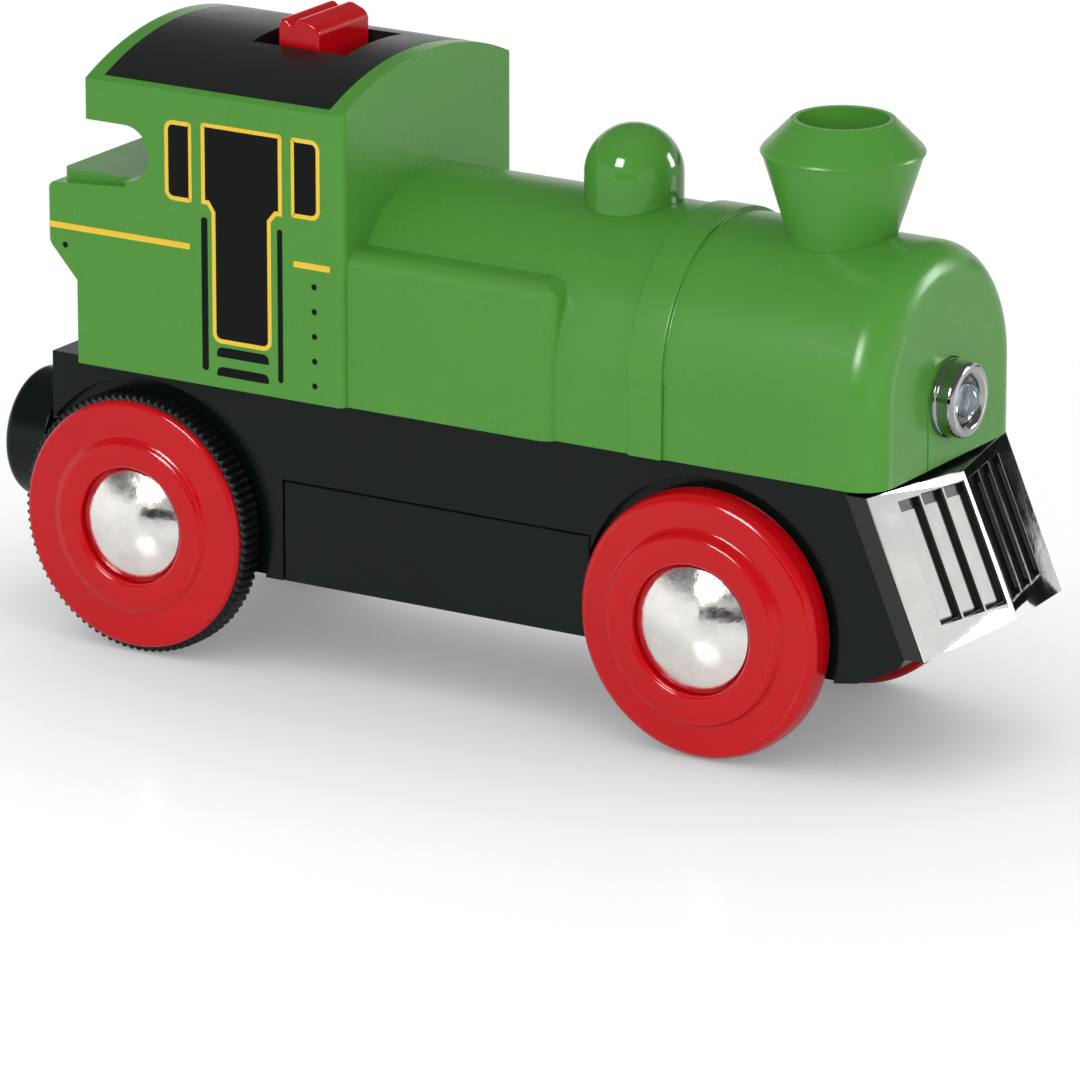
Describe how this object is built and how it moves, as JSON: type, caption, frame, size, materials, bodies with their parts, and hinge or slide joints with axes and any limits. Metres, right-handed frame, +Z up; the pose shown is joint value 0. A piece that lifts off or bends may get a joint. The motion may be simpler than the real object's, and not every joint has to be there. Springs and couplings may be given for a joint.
{
  "type": "toy train locomotive",
  "caption": "battery toy tank locomotive for wooden track: glossy moulded cab, boiler, dome and flared chimney on a black chassis, plated cowcatcher, sliding roof switch and magnetic rear coupling",
  "frame": {"origin": "on the track surface, midway along the locomotive's whole length and width", "axes": "+X towards the cowcatcher (forward), +Y to the locomotive's left, +Z up"},
  "size_m": [0.1026, 0.0328, 0.0578],
  "materials": {
    "green_plastic": "glossy moulded plastic, slightly translucent",
    "black_plastic": "glossy black moulded plastic",
    "red_plastic": "glossy red moulded plastic",
    "tyre_rubber": "satin black ribbed rubber",
    "plated_steel": "polished nickel-plated steel",
    "plated_plastic": "bright plating on moulded plastic",
    "clear_plastic": "clear moulded lens",
    "brass_strip": "bare phosphor-bronze strip",
    "inner_plastic": "plain moulded plastic, unseen inside",
    "gear_plastic": "natural acetal",
    "cell_jacket": "printed jacket of a plain AA cell",
    "board": "green printed circuit board",
    "wire_red": "red wire insulation",
    "wire_black": "black wire insulation",
    "wire_white": "white wire insulation"
  },
  "bodies": {
    "chassis": {"body_shell": "green_plastic", "steam_dome": "green_plastic", "chimney": "green_plastic", "lamp_tab": "green_plastic", "headlight_bezel": "plated_plastic", "headlight_lens": "clear_plastic", "headlight_led": "clear_plastic", "chassis_frame": "black_plastic", "inner_deck": "inner_plastic", "battery_cover": "black_plastic", "battery_cover_screw": "plated_steel", "body_screws": "plated_steel", "cowcatcher": "plated_plastic", "battery_cell": "cell_jacket", "battery_spring": "plated_steel", "battery_contact": "plated_steel", "motor_can": "plated_steel", "motor_end_cap": "gear_plastic", "motor_clip": "inner_plastic", "gear_frame": "inner_plastic", "gear_cover": "inner_plastic", "gear_pins": "plated_steel", "switch_board": "board", "board_screws": "plated_steel", "coupler_pin": "plated_steel", "wire_positive": "wire_red", "wire_negative": "wire_black", "lamp_wires": "wire_white"},
    "rear_wheelset": {"rear_axle": "plated_steel", "axle_gear": "gear_plastic", "rear_wheel_left": "red_plastic", "rear_wheel_right": "red_plastic", "rear_tyre_left": "tyre_rubber", "rear_tyre_right": "tyre_rubber", "rear_hub_cap_left": "plated_steel", "rear_hub_cap_right": "plated_steel"},
    "front_wheelset": {"front_axle": "plated_steel", "front_wheel_left": "red_plastic", "front_wheel_right": "red_plastic", "front_hub_cap_left": "plated_steel", "front_hub_cap_right": "plated_steel"},
    "second_gear": {"second_gear": "gear_plastic"},
    "first_gear": {"first_gear": "gear_plastic"},
    "motor_rotor": {"motor_pinion": "gear_plastic"},
    "switch_slider": {"switch_button": "red_plastic", "switch_wiper": "brass_strip"},
    "coupler": {"coupler_housing": "black_plastic", "coupler_magnet": "plated_steel"}
  },
  "joints": [
    {"name": "rear_axle_spin", "type": "hinge", "parent": "chassis", "child": "rear_wheelset", "pos_m": [-0.03098, 0, 0.012], "axis": [0, 1, 0], "continuous": true},
    {"name": "second_gear_spin", "type": "hinge", "parent": "chassis", "child": "second_gear", "pos_m": [-0.03148, 0.0065, 0.02003], "axis": [0, 1, 0], "continuous": true},
    {"name": "first_gear_spin", "type": "hinge", "parent": "chassis", "child": "first_gear", "pos_m": [-0.02879, 0.0055, 0.02804], "axis": [0, 1, 0], "continuous": true},
    {"name": "motor_spin", "type": "hinge", "parent": "chassis", "child": "motor_rotor", "pos_m": [-0.02075, 0.004, 0.03064], "axis": [0, 1, 0], "continuous": true},
    {"name": "front_axle_spin", "type": "hinge", "parent": "chassis", "child": "front_wheelset", "pos_m": [0.02752, 0, 0.012], "axis": [0, 1, 0], "continuous": true},
    {"name": "switch_slide", "type": "slide", "parent": "chassis", "child": "switch_slider", "axis": [1, 0, 0], "range_m": [-0.0022, 0.0022]},
    {"name": "coupler_swing", "type": "hinge", "parent": "chassis", "child": "coupler", "pos_m": [-0.03648, 0, 0.0142], "axis": [0, 0, 1], "range_deg": [-12, 12]}
  ],
  "couplings": [
    {"joint": "second_gear_spin", "follows": "rear_axle_spin", "ratio": -2.3333},
    {"joint": "first_gear_spin", "follows": "rear_axle_spin", "ratio": 5.8333},
    {"joint": "motor_spin", "follows": "rear_axle_spin", "ratio": -14.583}
  ]
}
